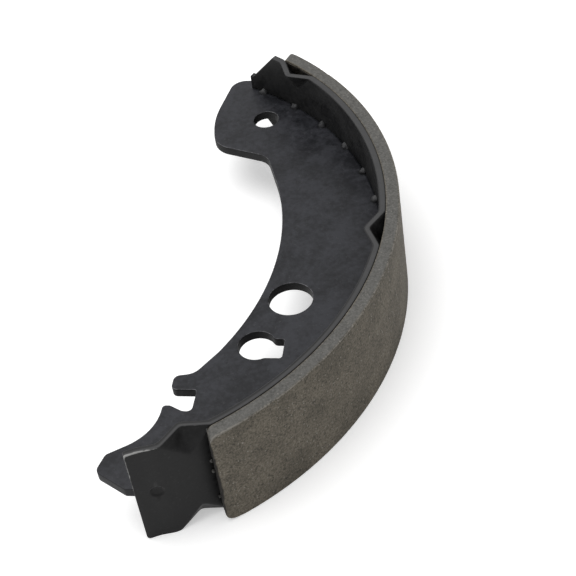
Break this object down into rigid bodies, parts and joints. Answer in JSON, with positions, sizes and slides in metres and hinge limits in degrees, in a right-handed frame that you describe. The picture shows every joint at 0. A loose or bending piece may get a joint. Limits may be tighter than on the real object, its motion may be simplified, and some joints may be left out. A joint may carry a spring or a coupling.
{
  "type": "brake shoe",
  "caption": "Bonded drum brake shoe lying on its side: flat steel web with pivot hole, keyhole and strut notch, dented steel table and friction lining",
  "frame": {"origin": "middle of the hold-down hole, at the web's mid plane. The drum's axis, which is the centre of the lining's arc, is parallel to Z at x -0.0702 m, y 0.0158 m", "axes": "+Z along the drum's axis and up as the shoe lies on its side, +X from the drum's axis to the middle of the lining, +Y towards the end with the pivot hole"},
  "size_m": [0.0756, 0.1776, 0.0346],
  "materials": {
    "painted_steel": "thin satin charcoal paint over steel sheet",
    "friction": "ground moulded friction material with fine pale flecks",
    "adhesive": "cured dark bonding adhesive"
  },
  "bodies": {
    "root": {"web": "painted_steel", "table": "painted_steel", "lining": "friction", "adhesive": "adhesive", "weld_nuggets": "painted_steel"}
  },
  "joints": []
}
